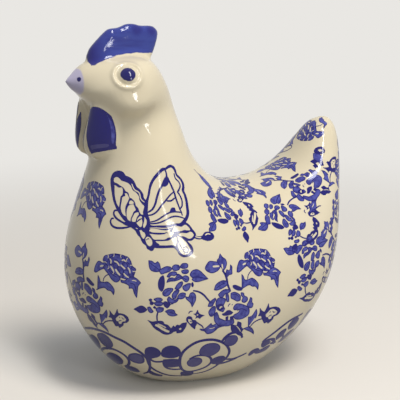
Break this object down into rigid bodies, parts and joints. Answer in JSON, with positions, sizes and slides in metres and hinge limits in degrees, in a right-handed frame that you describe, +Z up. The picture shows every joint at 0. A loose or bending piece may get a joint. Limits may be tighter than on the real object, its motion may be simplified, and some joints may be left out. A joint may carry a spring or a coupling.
{
  "type": "hen figurine",
  "caption": "Hollow slip-cast ceramic hen that stands on a flat foot rim: egg-shaped body, raised tail, long neck, lobed comb, hanging wattles.",
  "frame": {"origin": "on the surface the hen stands on, under the middle of its overall length and width", "axes": "+Z up through the hen, -Y the way the beak points, X across the hen, which is its plane of symmetry at X = 0"},
  "size_m": [0.1032, 0.1702, 0.2014],
  "materials": {
    "glaze": "clear gloss glaze over a cream body with cobalt blue underglaze transfers; bare biscuit inside the foot rim"
  },
  "bodies": {
    "root": {"hen": "glaze"}
  },
  "joints": []
}
